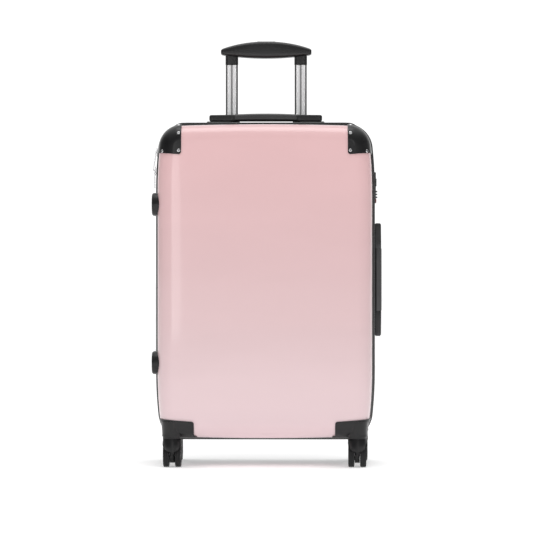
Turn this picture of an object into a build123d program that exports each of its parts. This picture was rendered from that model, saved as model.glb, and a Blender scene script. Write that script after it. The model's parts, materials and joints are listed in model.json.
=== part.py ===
"""Hard shell suitcase: two hinged halves, telescopic handle, two pull-out carry handles,
combination lock and four double-wheel casters. Millimetres, Z up, -Y is the front."""

import os
from math import asin, cos, degrees, hypot, radians, sin, sqrt, tan

from build123d import *

os.makedirs("parts", exist_ok=True)

# Case halves
case_width = 409.4
case_height = 597.0
case_depth = 260.0
case_middle = 349.5
straight_half = 172.0
side_bow_radius = 800.0
top_bow_radius = 4500.0
corner_radius = 45.0
draft = 2.0
edge_round = 30.0
wall = 2.5
lining_gap = 0.3
lining_wall = 1.2
halves_gap = 0.3
floor_depth = 86.0

# Zip band
tape_out = 4.3
tape_wide = 12.0
coil_out = 3.4
coil_wide = 2.9

# Corner guards and rivets
guard_wall = 2.2
guard_inner = 156.0
guard_low = 587.0
bottom_guard_inner = 132.0
bottom_guard_high = 89.0
guard_stop = 13.2
leg_rings = ((58.5, 18.7), (68.0, 19.8), (80.0, 22.4), (88.0, 24.0))
leg_lean = 0.12
rivet_head = 3.1
rivet_shank = 1.5

# Fabric hinge strip
hinge_low = 185.0
hinge_high = 515.0

# Side feet
foot_out = 212.2
foot_length = 74.0
foot_height = 43.0
foot_y = 77.0
foot_z = (196.0, 494.0)

# Casters
front_kingpin = (174.0, 108.0)
back_kingpin = (180.0, 88.0)
trail = 16.0
wheel_radius = 25.0
wheel_wide = 11.4
wheel_gap = 11.0
swivel_z = 54.5
stem_radius = 5.0
axle_radius = 3.0
running_gap = 0.05
pocket_radius = 47.0
boss_radius = 17.4
boss_top = 84.0
plate_top = 58.5
fork_clear = 0.3

# Telescopic handle
tube_x = 67.0
tube_y = 100.0
inner_wide = 23.6
inner_deep = 12.0
tube_wall = 1.2
tube_gap = 0.3
outer_low = 66.0
outer_high = 646.0
middle_low = 80.0
bezel_top = 650.8
collar_top = 661.0
inner_low = 200.0
leg_low = 769.0
grip_half = 88.0
grip_deep = 25.0

# Carry handles
handle_half = 107.0
handle_wide = 24.0
handle_y = 32.0
post_x = 88.0
top_handle_base = 655.6
side_handle_base = 208.8
side_handle_z = 352.0

# Lock
lock_y = 30.0
lock_face = 211.5
lock_low = 498.0
lock_high = 558.0
dial_x = 205.6
dial_radius = 9.0
dial_z = (510.2, 515.6, 521.0)

# Zip sliders and pulls: height, distance of the band there, lean of the pull
upper_slider = (596.0, 205.4, 8.3)
lower_slider = (560.0, 208.0, 0.0)


def save(node, solids):
    """Write one node, made of one or more separate solids."""
    solids = list(solids) if isinstance(solids, (list, tuple)) else solids.solids()
    flat = [piece for item in solids for piece in item.solids()]
    export_step(Compound(children=flat), f"parts/{node}.step")


def on_circle(centre, radius, target):
    dx = target[0] - centre[0]
    dz = target[1] - centre[1]
    far = hypot(dx, dz)
    return (centre[0] + radius * dx / far, centre[1] + radius * dz / far)


def corner_centre():
    """Centre of the corner arc that touches the bowed side and the bowed top."""
    first = (case_width / 2 - side_bow_radius, straight_half)
    second = (0, case_height / 2 - top_bow_radius)
    reach_first = side_bow_radius - corner_radius
    reach_second = top_bow_radius - corner_radius
    apart = hypot(second[0] - first[0], second[1] - first[1])
    along = (reach_first**2 - reach_second**2 + apart**2) / (2 * apart)
    across = sqrt(reach_first**2 - along**2)
    ux = (second[0] - first[0]) / apart
    uz = (second[1] - first[1]) / apart
    low = (first[0] + along * ux - across * uz, first[1] + along * uz + across * ux)
    high = (first[0] + along * ux + across * uz, first[1] + along * uz - across * ux)
    return max(low, high, key=lambda point: point[1])


bend = corner_centre()
side_centre = (case_width / 2 - side_bow_radius, straight_half)
top_centre = (0, case_height / 2 - top_bow_radius)


def outline(grow):
    """Face bounded by the case outline, moved outward by grow."""
    half = case_width / 2 + grow
    high = case_height / 2 + grow
    start = (half, straight_half)
    side_end = on_circle(side_centre, side_bow_radius + grow, bend)
    halfway = ((start[0] + side_end[0]) / 2, (start[1] + side_end[1]) / 2)
    side_mid = on_circle(side_centre, side_bow_radius + grow, halfway)
    top_end = on_circle(top_centre, top_bow_radius + grow, bend)
    corner_mid = on_circle(bend, corner_radius + grow, (bend[0] + 1, bend[1] + 1))
    edges = []
    for sx in (1, -1):
        edges.append(Line((sx * half, -straight_half), (sx * half, straight_half)))
        for sz in (1, -1):
            points = [(sx * p[0], sz * p[1]) for p in (start, side_mid, side_end, corner_mid, top_end)]
            edges.append(ThreePointArc(points[0], points[1], points[2]))
            edges.append(ThreePointArc(points[2], points[3], points[4]))
    for sz in (1, -1):
        left = (-top_end[0], sz * top_end[1])
        right = (top_end[0], sz * top_end[1])
        edges.append(ThreePointArc(right, (0, sz * high), left))
    return Plane.XZ * Pos(0, case_middle) * make_face(edges)


def shell_form(grow):
    """Solid front half, moved outward by grow."""
    block = extrude(outline(grow), case_depth / 2 + grow, taper=draft)
    face = block.faces().sort_by(Axis.Y)[0]
    return fillet(face.edges(), edge_round + grow)


def box(x0, x1, y0, y1, z0, z1):
    return Pos((x0 + x1) / 2, (y0 + y1) / 2, (z0 + z1) / 2) * Box(abs(x1 - x0), abs(y1 - y0), abs(z1 - z0))


def rod_x(radius, length, x, y, z):
    return Pos(x, y, z) * Rot(0, 90, 0) * Cylinder(radius, length)


def rod_z(radius, z0, z1, x, y):
    return Pos(x, y, (z0 + z1) / 2) * Cylinder(radius, z1 - z0)


def both_sides(piece):
    return [piece, mirror(piece, about=Plane.YZ)]


def ring(grow_out, grow_in, near, wide):
    """Band round the outline between two distances in front of the parting plane."""
    band = extrude(outline(grow_out), wide) - extrude(outline(grow_in), wide)
    return Pos(0, -near, 0) * band


def surface_plane(x, z, lift):
    """Plane on the front form at x, z, lifted outward; it faces along the surface normal."""
    up = z - case_middle
    if x > bend[0] and up > bend[1]:
        reach = hypot(x - bend[0], up - bend[1])
        inset = corner_radius - reach
        direction = ((x - bend[0]) / reach, (up - bend[1]) / reach)
    elif up - bend[1] > x - bend[0]:
        reach = hypot(x - top_centre[0], up - top_centre[1])
        inset = top_bow_radius - reach
        direction = ((x - top_centre[0]) / reach, (up - top_centre[1]) / reach)
    else:
        reach = hypot(x - side_centre[0], up - side_centre[1])
        inset = side_bow_radius - reach
        direction = ((x - side_centre[0]) / reach, (up - side_centre[1]) / reach)
    straight = case_depth / 2 - edge_round
    middle = edge_round / cos(radians(draft)) + straight * tan(radians(draft))
    tilt = max(0.0, (middle - inset) / edge_round)
    level = sqrt(1 - tilt**2)
    normal = (direction[0] * tilt, -level, direction[1] * tilt)
    depth = -straight - edge_round * level
    point = (x + normal[0] * lift, depth + normal[1] * lift, z + normal[2] * lift)
    return Plane(origin=point, z_dir=normal)


# Front half -------------------------------------------------------------------------------
outer_form = shell_form(0)
inner_form = shell_form(-wall)
guard_form = shell_form(guard_wall)
lining_form = shell_form(-wall - lining_gap)
cavity_form = shell_form(-wall - lining_gap - lining_wall)
parting_cut = box(-300, 300, -halves_gap, 10, -50, 800)

rivet_spots = [(160.6, 626.0), (160.6, 594.5), (190.0, 593.0), (161.0, 640.5)]
heads = []
shanks = []
for spot_x, spot_z in rivet_spots:
    place = surface_plane(spot_x, spot_z, guard_wall)
    dome = fillet(Cylinder(rivet_head, 1.3).edges().group_by(Axis.Z)[-1], 0.9)
    head = place * Pos(0, 0, 0.65) * dome
    shank = place * Pos(0, 0, -2.9) * Cylinder(rivet_shank, 5.8)
    heads += both_sides(head + shank)
    shanks += both_sides(shank)
shank_cut = Compound(children=[piece.solid() for piece in shanks])


def caster_cut(kingpin, pocket_extra, boss_extra, lift):
    """Both caster pockets and the holes for their housings."""
    cut = Part()
    for sx in (1, -1):
        cut += rod_z(pocket_radius + pocket_extra, 30, plate_top + lift, sx * kingpin[0], -kingpin[1])
        cut += rod_z(boss_radius + boss_extra, 40, boss_top + lift + 0.1, sx * kingpin[0], -kingpin[1])
    return cut


def shell_solid(kingpin):
    return outer_form - inner_form - parting_cut - caster_cut(kingpin, 0.2, 0.1, 0)


def lining_solid(kingpin):
    return lining_form - cavity_form - parting_cut - caster_cut(kingpin, 1, 0.6, 1)



foot_profile = Pos(-foot_y, 0) * SlotOverall(foot_length, foot_height)
feet = []
for z in foot_z:
    pad = Plane(origin=(-190, 0, z), x_dir=(0, 1, 0), z_dir=(-1, 0, 0)) * foot_profile
    pad = extrude(pad, foot_out - 190)
    pad = fillet(pad.faces().sort_by(Axis.X)[0].edges(), 4)
    feet += (pad - outer_form).solids().sort_by(Axis.X)[:1]

cover = guard_form - outer_form
guard_regions = []
for sx in (1, -1):
    top_area = RectangleRounded(120, 120, 14)
    top_area = Plane.XZ * Pos(sx * (guard_inner + 60), guard_low + 60) * top_area
    low_area = RectangleRounded(150, 120, 6)
    low_area = Plane.XZ * Pos(sx * (bottom_guard_inner + 75), bottom_guard_high - 60) * low_area
    for area in (top_area, low_area):
        guard_regions.append(Pos(0, -guard_stop, 0) * extrude(area, 150))


def corner_guards(kingpin):
    """Four guards; each lower one swells into a leg above its caster."""
    legs = Part()
    for sx in (1, -1):
        rings = []
        for z, radius in leg_rings:
            ring_x = kingpin[0] - leg_lean * (z - plate_top)
            rings.append(Pos(sx * ring_x, -kingpin[1], z) * Circle(radius))
        legs += loft(rings) - outer_form
    pieces = []
    for region in guard_regions:
        piece = (cover & region) + (legs & region) - caster_cut(kingpin, 0.2, 0.1, 0) - shank_cut
        pieces += piece.solids().sort_by(SortBy.VOLUME)[-1:]
    return pieces


def wheel_housings(kingpin):
    pieces = []
    for sx in (1, -1):
        x = sx * kingpin[0]
        y = -kingpin[1]
        plate = rod_z(pocket_radius, swivel_z, plate_top, x, y) & guard_form
        boss = rod_z(boss_radius, swivel_z, boss_top, x, y)
        bore = rod_z(stem_radius + running_gap, 40, 77, x, y)
        recess = rod_z(8.0, 75.7, 80.0, x, y)
        pieces.append(plate + boss - bore - recess)
    return pieces



tape = ring(tape_out, 0, coil_wide + 0.1, tape_wide - coil_wide - 0.1)
tape = fillet(tape.faces().sort_by(Axis.Y)[0].outer_wire().edges(), 1.8)
coil = ring(coil_out, 0, 0.15, coil_wide - 0.15)

save("front_shell", shell_solid(front_kingpin) - shank_cut)
save("front_lining", lining_solid(front_kingpin) - shank_cut)
save("zip_tape_front", [tape, coil])
save("corner_guards_front", corner_guards(front_kingpin))
save("rivets_front", heads)
save("wheel_housings_front", wheel_housings(front_kingpin))
save("side_feet_front", feet)


# Back half --------------------------------------------------------------------------------
def to_back(piece):
    return mirror(piece, about=Plane.XZ)


def tube_profile(wide, deep, groove):
    """Rounded tube section with a shallow groove down the middle of both wide faces."""
    section = RectangleRounded(wide, deep, min(wide, deep) * 0.42)
    if groove:
        for sy in (1, -1):
            section -= Pos(0, sy * deep / 2) * Rectangle(3.6, 1.6)
    return section


def tube_pair(wide, deep, thick, z0, z1, groove):
    outside = tube_profile(wide, deep, groove)
    inside = tube_profile(wide - 2 * thick, deep - 2 * thick, groove)
    tube = Pos(tube_x, tube_y, z0) * extrude(outside - inside, z1 - z0)
    return both_sides(tube)


def tube_block(wide, deep, z0, z1):
    """Solid bars that fill the outline of both tubes."""
    bar = Pos(tube_x, tube_y, z0) * extrude(tube_profile(wide, deep, False), z1 - z0)
    return bar + mirror(bar, about=Plane.YZ)


middle_wide = inner_wide + 2 * (tube_gap + tube_wall)
middle_deep = inner_deep + 2 * (tube_gap + tube_wall)
outer_wide = middle_wide + 2 * (tube_gap + tube_wall)
outer_deep = middle_deep + 2 * (tube_gap + tube_wall)
outer_cavity = (outer_wide - 2 * tube_wall, outer_deep - 2 * tube_wall)

back_form = to_back(outer_form)
base_plate = 20.0


def handle_socket_cut(extra):
    """Block that passes through the wall under one base plate, in handle coordinates."""
    side = base_plate + 2 * extra
    return Pos(post_x, 0, -12) * Box(side, side, 40)


def carry_bases(solid_form):
    plate = Pos(post_x, 0, -7) * Box(50, 30, 14)
    plate = fillet(plate.edges().filter_by(Axis.Z), 6)
    plate = fillet(plate.faces().sort_by(Axis.Z)[-1].edges(), 1.5)
    sleeve = Pos(post_x, 0, -7.35) * Box(base_plate, base_plate, 14.7)
    hole = Pos(post_x, 0, -10) * Box(10.6, 14.6, 40)
    return (plate - solid_form) + sleeve - hole


def carry_grip():
    top = ThreePointArc((-handle_half, 11.6), (0, 14.2), (handle_half, 11.6))
    edges = [
        top,
        Line((handle_half, 11.6), (handle_half, 1.3)),
        Line((handle_half, 1.3), (62, 1.3)),
        ThreePointArc((62, 1.3), (0, 4.2), (-62, 1.3)),
        Line((-62, 1.3), (-handle_half, 1.3)),
        Line((-handle_half, 1.3), (-handle_half, 11.6)),
    ]
    body = extrude(Plane.XZ * make_face(edges), handle_wide / 2, both=True)
    ends = body.faces().filter_by(Axis.X).edges().filter_by(Axis.Y)
    body = fillet(ends, 3.2)
    sides = body.faces().filter_by(Axis.Y).edges()
    body = fillet(sides, 2.6)
    for sx in (1, -1):
        body -= Pos(sx * post_x, 0, 3.5) * Box(10, 14, 7)
    return body


def carry_posts():
    posts = []
    for sx in (1, -1):
        shaft = Pos(sx * post_x, 0, -11.5) * Box(10, 14, 37)
        stop = Pos(sx * post_x, 0, -28.5) * Box(16, 20, 3)
        posts.append(shaft + stop)
    return posts


top_place = Pos(0, handle_y, top_handle_base)
side_place = Pos(side_handle_base, handle_y, side_handle_z) * Rot(0, 90, 0)

handle_cuts = Part()
lining_handle_cuts = Part()
for place in (top_place, side_place):
    for turn in (0, 180):
        handle_cuts += place * Rot(0, 0, turn) * handle_socket_cut(0)
        lining_handle_cuts += place * Rot(0, 0, turn) * handle_socket_cut(1)

handle_nodes = (("top_handle", top_place), ("side_handle", side_place))
for name, place in handle_nodes:
    local_form = place.inverse() * back_form
    right = carry_bases(local_form)
    left = Rot(0, 0, 180) * carry_bases(Rot(0, 0, 180) * local_form)
    save(f"{name}_bases", [place * right, place * left])
    save(f"{name}_grip", [place * carry_grip()])
    save(f"{name}_posts", [place * post for post in carry_posts()])

# Lock
lock_block = box(186, lock_face, lock_y - 15, lock_y + 15, lock_low, lock_high)
lock_hole = lock_block
lock_block = fillet(lock_block.faces().sort_by(Axis.X)[-1].edges(), 2)
for z in dial_z:
    lock_block -= rod_z(dial_radius + 0.4, z - 1.8, z + 1.8, dial_x, lock_y)
pin_low = dial_z[0] - 4
pin_high = dial_z[-1] + 4
lock_block -= rod_z(1.5, pin_low, pin_high, dial_x, lock_y)
lock_block -= box(205.7, 214, lock_y - 6.3, lock_y + 6.3, 530.7, 551.3)
lock_block -= rod_x(4.05, 8, 211.5, lock_y, 503.4)
for sy in (1, -1):
    lock_block -= box(203.5, 214, lock_y + sy * 10.5 - 1.5, lock_y + sy * 10.5 + 1.5, 540, 549)
dial_pin = rod_z(1.5, pin_low, pin_high, dial_x, lock_y)
save("lock_body", lock_block)
save("lock_dial_pin", dial_pin)
for index, z in enumerate(dial_z):
    dial = rod_z(dial_radius, z - 1.5, z + 1.5, dial_x, lock_y)
    dial -= rod_z(1.5 + running_gap, z - 2, z + 2, dial_x, lock_y)
    for step in range(10):
        angle = radians(36 * step)
        at_x = dial_x + (dial_radius + 0.7) * cos(angle)
        at_y = lock_y + (dial_radius + 0.7) * sin(angle)
        dial -= rod_z(1.1, z - 2, z + 2, at_x, at_y)
    save(f"lock_dial_{index + 1}", dial)
slide = box(206, 212.9, lock_y - 6, lock_y + 6, 531, 546)
slide = fillet(slide.faces().sort_by(Axis.X)[-1].edges(), 1.0)
save("lock_release", slide)
key_barrel = rod_x(4, 5, 210.1, lock_y, 503.4)
key_barrel -= box(209.5, 214, lock_y - 0.6, lock_y + 0.6, 500.8, 506)
save("lock_cylinder", key_barrel)

# Trolley parts fixed to the case
bezel_block = box(-95, 95, 84, 117, 600, bezel_top)
bezel_block = fillet(bezel_block.edges().filter_by(Axis.Z), 8)
bezel_block = fillet(bezel_block.faces().sort_by(Axis.Z)[-1].edges(), 2)
bezel = (bezel_block - back_form).solids().sort_by(Axis.Z)[-1]
bezel -= tube_block(outer_wide, outer_deep, 600, outer_high)
bezel -= tube_block(*outer_cavity, 600, 700)
outer_tubes = tube_pair(outer_wide, outer_deep, tube_wall, outer_low, outer_high, False)
foot_bracket = box(-92, 92, 88, 114, 58.6, 74)
foot_bracket -= tube_block(outer_wide, outer_deep, outer_low, 100)
foot_bracket += tube_block(*outer_cavity, 60, middle_low - 0.1)
foot_bracket = (foot_bracket & to_back(inner_form)).solid()
save("trolley_bezel", bezel)
save("trolley_outer_tubes", outer_tubes)
save("trolley_foot_bracket", foot_bracket)

tube_cut = tube_block(outer_wide, outer_deep, 600, 700)
back_solid = to_back(shell_solid(back_kingpin)) - handle_cuts - lock_hole - tube_cut
save("back_shell", back_solid - to_back(shank_cut))

floor_block = box(-300, 300, -10, floor_depth, -50, 800)
floor_inner = box(-300, 300, -10, floor_depth - lining_wall, -50, 800)
back_lining = (to_back(lining_form) & floor_block) - (to_back(cavity_form) & floor_inner)
back_lining = back_lining - to_back(parting_cut + caster_cut(back_kingpin, 1, 0.6, 1)) - lining_handle_cuts
back_lining -= box(180, 300, lock_y - 16, lock_y + 16, lock_low - 1, lock_high + 1)
save("back_lining", back_lining.solids().sort_by(SortBy.VOLUME)[-1:])

save("zip_tape_back", [to_back(tape), to_back(coil)])
save("corner_guards_back", [to_back(piece) for piece in corner_guards(back_kingpin)])
save("rivets_back", [to_back(piece) for piece in heads])
save("wheel_housings_back", [to_back(piece) for piece in wheel_housings(back_kingpin)])
save("side_feet_back", [to_back(piece) for piece in feet])

# Packing straps and hinge strip
strap_y = floor_depth - lining_wall
straps = []
for sx in (1, -1):
    for sz in (1, -1):
        lean = degrees(asin(220 / hypot(165, 220)))
        start = Pos(sx * 97, strap_y - 0.8, case_middle + sz * 129) * Rot(0, -sx * sz * lean, 0)
        straps.append(start * Box(216, 1.6, 30))
buckle = box(-26, 26, strap_y - 8, strap_y, case_middle - 26, case_middle + 26)
buckle = fillet(buckle.edges().filter_by(Axis.Y), 8)
save("packing_straps", [piece - buckle for piece in straps])
save("strap_buckle", buckle)

fold = box(-200.2, -199.4, -10, -0.8, hinge_low, hinge_high)
fold += box(-200.2, -199.4, 0.8, 10, hinge_low, hinge_high)
fold += box(-200.2, -189, -1.6, -0.8, hinge_low, hinge_high)
fold += box(-200.2, -189, 0.8, 1.6, hinge_low, hinge_high)
fold += box(-189, -188.2, -1.6, 1.6, hinge_low, hinge_high)
save("hinge_fabric", fold)

# Telescopic handle, moving parts -----------------------------------------------------------
middle_tubes = tube_pair(middle_wide, middle_deep, tube_wall, middle_low, collar_top - 0.5, False)
inner_tubes = tube_pair(inner_wide, inner_deep, tube_wall, inner_low, 789, True)
collar_block = tube_block(outer_wide + 1.6, outer_deep + 1.6, 651, collar_top)
collars = collar_block - tube_block(middle_wide, middle_deep, 640, collar_top - 0.5)
collars -= tube_block(inner_wide + 2 * tube_gap, inner_deep + 2 * tube_gap, 640, 700)
save("trolley_middle_tubes", middle_tubes)
save("trolley_collars", collars)
save("trolley_inner_tubes", inner_tubes)

grip_edges = [
    ThreePointArc((-grip_half, 800), (0, 815), (grip_half, 800)),
    Line((grip_half, 800), (grip_half, 789)),
    ThreePointArc((grip_half, 789), (0, 783), (-grip_half, 789)),
    Line((-grip_half, 789), (-grip_half, 800)),
]
grip = Pos(0, tube_y, 0) * extrude(Plane.XZ * make_face(grip_edges), grip_deep / 2, both=True)
grip = fillet(grip.faces().filter_by(Axis.X).edges().filter_by(Axis.Y), 4)
grip = fillet(grip.faces().filter_by(Axis.Y).edges(), 4)
legs = tube_block(22.4, 15, leg_low, 791)
grip = grip + legs
leg_hole = tube_block(inner_wide, inner_deep, 600, 789)
legs_outside = tube_block(inner_wide + 2.4, inner_deep + 3, leg_low, 787)
grip = grip + legs_outside - leg_hole
bar_low = 794.0
bar_high = 800.0
press = 4.0
grip -= box(-72, 72, tube_y - 4.3, tube_y + 4.3, bar_low - press - 0.3, bar_high + 0.3)
grip -= box(-18.3, 18.3, tube_y - 5.3, tube_y + 5.3, bar_high - press - 0.3, 830)
grip -= rod_z(3.2, 785.2, 795, 0, tube_y)
for sx in (1, -1):
    grip -= rod_z(1.8, 760, 795, sx * tube_x, tube_y)
save("trolley_grip", grip)

cap = box(-18, 18, tube_y - 5, tube_y + 5, bar_high, 815.0)
cap = fillet(cap.edges().filter_by(Axis.Z), 3)
cap = fillet(cap.faces().sort_by(Axis.Z)[-1].edges(), 1.2)
save("trolley_button", cap)
pull_bar = box(-70.5, 70.5, tube_y - 4, tube_y + 4, bar_low, bar_high)
for sx in (1, -1):
    pull_bar += rod_z(1.5, 215, bar_low + 1, sx * tube_x, tube_y)
    pull_bar += rod_z(3.2, 205, 215, sx * tube_x, tube_y)
save("trolley_pull_rods", pull_bar)
turns = Helix(pitch=1.9, height=7.6, radius=2.3)
wire = Plane(origin=turns @ 0, z_dir=turns % 0) * Circle(0.4)
spring = Pos(0, tube_y, 785.8) * sweep(wire, path=turns)
save("button_spring", spring)


# Zip sliders and pulls ----------------------------------------------------------------------
def slider_place(slider):
    """Frame on the band: local X points outward, local Z up the band."""
    return Pos(-slider[1], 0, slider[0]) * Rot(0, 0, 180)


def zip_slider():
    neck = box(0.9, 2.0, -1.5, 1.5, -6, 6)
    plate = box(1.8, 2.9, -4.6, 4.6, -8.5, 8.5)
    plate = fillet(plate.edges().filter_by(Axis.X), 2.5)
    bail = box(2.8, 5.2, -1.4, 1.4, -3, 3)
    bail = fillet(bail.edges().filter_by(Axis.Y).group_by(Axis.X)[-1], 0.9)
    hole = Pos(4.1, 0, 0) * Rot(90, 0, 0) * Cylinder(0.65, 10)
    return neck + plate + bail - hole


def zip_pull(length):
    """Pull hanging from its pin, which lies along local Y at the origin."""
    pin = Rot(90, 0, 0) * Cylinder(0.6, 6)
    body = pin
    for sy in (1, -1):
        body += box(-0.8, 0.8, sy * 1.7, sy * 3.1, -9, 0.7)
    body += box(-0.8, 0.8, -3.1, 3.1, -length, -6)
    tip = Pos(0, 0, -length + 1.6) * Box(2.4, 6.2, 3.2)
    window = Pos(0, 0, -12) * Box(4, 3, 8)
    return body + tip - window


sliders = (("upper", upper_slider, 36.5), ("lower", lower_slider, 33.0))
for name, slider, length in sliders:
    place = slider_place(slider)
    save(f"zip_slider_{name}", place * zip_slider())
    save(f"zip_pull_{name}", place * Pos(4.1, 0, 0) * Rot(0, -slider[2], 0) * zip_pull(length))


# Casters ------------------------------------------------------------------------------------
def caster_fork(x, y):
    rear = y + trail
    hood = rod_x(28.2, 35, x, rear, wheel_radius) + rod_z(17.2, 20, swivel_z - fork_clear, x, y)
    hood -= rod_x(26.2, 40, x, rear, wheel_radius)
    edges = [
        Line((-18, 46), (-18, 60)),
        Line((-18, 60), (18, 60)),
        Line((18, 60), (18, 46)),
        ThreePointArc((18, 46), (0, 29), (-18, 46)),
    ]
    rounded = Pos(x, rear, 0) * extrude(Plane.XZ * make_face(edges), 40, both=True)
    web = rod_x(17.2, 9, x, rear, wheel_radius) + box(x - 4.5, x + 4.5, rear - 20, rear + 16, 25, 52)
    disc = rod_z(17, 50.9, swivel_z - fork_clear, x, y)
    stem = rod_z(stem_radius, 50.9, 78, x, y)
    fork = (hood & rounded) + web + disc + stem
    return fork - rod_x(axle_radius, 60, x, rear, wheel_radius)


def caster_wheel(x, y, outward):
    """Hub and tyre; the recess faces outward."""
    hub = rod_x(19, wheel_wide - 1, x, y, wheel_radius)
    recess = rod_x(15, 3, x + outward * (wheel_wide / 2 + 0.2), y, wheel_radius)
    cap_face = rod_x(6.5, 3, x + outward * (wheel_wide / 2 - 2), y, wheel_radius)
    hub = hub - recess + cap_face
    tyre = rod_x(wheel_radius, wheel_wide, x, y, wheel_radius)
    tyre = fillet(tyre.edges().filter_by(GeomType.CIRCLE), 2.4)
    tyre -= rod_x(19, wheel_wide + 2, x, y, wheel_radius)
    bore = rod_x(axle_radius + running_gap, 40, x, y, wheel_radius)
    return [hub - bore, tyre]


corners = (
    ("front_left", -front_kingpin[0], -front_kingpin[1]),
    ("front_right", front_kingpin[0], -front_kingpin[1]),
    ("back_left", -back_kingpin[0], back_kingpin[1]),
    ("back_right", back_kingpin[0], back_kingpin[1]),
)
for name, x, y in corners:
    rear = y + trail
    save(f"fork_{name}", caster_fork(x, y))
    washer = rod_z(7.5, 76, 78, x, y) - rod_z(stem_radius, 70, 80, x, y)
    axle = rod_x(axle_radius, wheel_gap + 2 * wheel_wide - 2, x, rear, wheel_radius)
    save(f"pins_{name}", [axle, washer])
    for side, outward in (("a", -1), ("b", 1)):
        at_x = x + outward * (wheel_gap + wheel_wide) / 2
        save(f"wheel_{name}_{side}", caster_wheel(at_x, rear, outward))
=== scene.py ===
import json
import math

import bmesh
import bpy
import numpy as np
from mathutils import Matrix, Vector


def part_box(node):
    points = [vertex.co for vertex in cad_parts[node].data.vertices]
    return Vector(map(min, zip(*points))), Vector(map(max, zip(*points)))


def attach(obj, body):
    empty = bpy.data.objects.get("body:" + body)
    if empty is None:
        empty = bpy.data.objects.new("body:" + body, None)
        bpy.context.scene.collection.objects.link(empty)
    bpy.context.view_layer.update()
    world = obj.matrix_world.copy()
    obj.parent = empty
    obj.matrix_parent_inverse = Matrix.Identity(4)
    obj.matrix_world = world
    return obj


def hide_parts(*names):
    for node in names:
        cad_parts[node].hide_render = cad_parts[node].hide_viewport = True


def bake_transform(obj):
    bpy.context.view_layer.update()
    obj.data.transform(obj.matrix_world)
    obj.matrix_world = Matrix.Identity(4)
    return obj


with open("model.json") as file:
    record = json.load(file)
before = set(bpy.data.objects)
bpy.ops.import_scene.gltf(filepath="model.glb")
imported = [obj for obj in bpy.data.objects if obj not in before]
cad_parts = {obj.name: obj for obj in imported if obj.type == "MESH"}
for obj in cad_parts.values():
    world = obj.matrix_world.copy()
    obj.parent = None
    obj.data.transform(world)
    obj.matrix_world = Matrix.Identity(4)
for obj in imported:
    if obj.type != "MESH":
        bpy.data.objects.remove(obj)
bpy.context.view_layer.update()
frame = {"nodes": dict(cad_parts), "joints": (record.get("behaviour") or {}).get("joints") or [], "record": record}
JOINTS = {j["name"]: j for j in frame["joints"]}

# ---------------- materials


def tree_of(name):
    mat = bpy.data.materials.new(name)
    mat.use_nodes = True
    nodes = mat.node_tree.nodes
    return mat, nodes, mat.node_tree.links, nodes["Principled BSDF"]


def noise(nodes, links, coords, scale, detail=3.0, rough=0.55, distort=0.0):
    tex = nodes.new("ShaderNodeTexNoise")
    tex.inputs["Scale"].default_value = scale
    tex.inputs["Detail"].default_value = detail
    tex.inputs["Roughness"].default_value = rough
    tex.inputs["Distortion"].default_value = distort
    links.new(coords, tex.inputs["Vector"])
    return tex


def ramp(nodes, links, value, stops):
    made = nodes.new("ShaderNodeValToRGB")
    elements = made.color_ramp.elements
    while len(elements) < len(stops):
        elements.new(0.5)
    for element, (place, colour) in zip(elements, stops):
        element.position = place
        element.color = (*colour, 1) if len(colour) == 3 else colour
    links.new(value, made.inputs["Fac"])
    return made


def spread(nodes, links, value, low, high):
    made = nodes.new("ShaderNodeMapRange")
    made.inputs["To Min"].default_value = low
    made.inputs["To Max"].default_value = high
    links.new(value, made.inputs["Value"])
    return made.outputs["Result"]


def maths(nodes, links, operation, *values):
    """Result of one math node; its values are numbers or other nodes' sockets."""
    made = nodes.new("ShaderNodeMath")
    made.operation = operation
    for socket, value in zip(made.inputs, values):
        if isinstance(value, float):
            socket.default_value = value
        else:
            links.new(value, socket)
    return made.outputs["Value"]


def object_coords(nodes):
    return nodes.new("ShaderNodeTexCoord").outputs["Object"]


def bump(nodes, links, height, shader, strength, distance):
    made = nodes.new("ShaderNodeBump")
    made.inputs["Strength"].default_value = strength
    made.inputs["Distance"].default_value = distance
    links.new(height, made.inputs["Height"])
    links.new(made.outputs["Normal"], shader.inputs["Normal"])


def moulded(name, dark, light, rough, grain=1400.0, depth=0.00004, coat=0.0, coat_rough=0.2, gloss=0.5):
    """Moulded plastic or rubber: fine grain, uneven gloss, and a slightly paler worn tone in patches."""
    mat, nodes, links, shader = tree_of(name)
    coords = object_coords(nodes)
    patches = noise(nodes, links, coords, 14.0, 4.0)
    tone = ramp(nodes, links, patches.outputs["Fac"], [(0.35, dark), (0.7, light)])
    links.new(tone.outputs["Color"], shader.inputs["Base Color"])
    links.new(
        spread(nodes, links, patches.outputs["Fac"], rough - 0.06, rough + 0.1), shader.inputs["Roughness"]
    )
    fine = noise(nodes, links, coords, grain, 2.0)
    bump(nodes, links, fine.outputs["Fac"], shader, 0.35, depth)
    shader.inputs["Specular IOR Level"].default_value = gloss
    shader.inputs["Coat Weight"].default_value = coat
    shader.inputs["Coat Roughness"].default_value = coat_rough
    return mat


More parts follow.
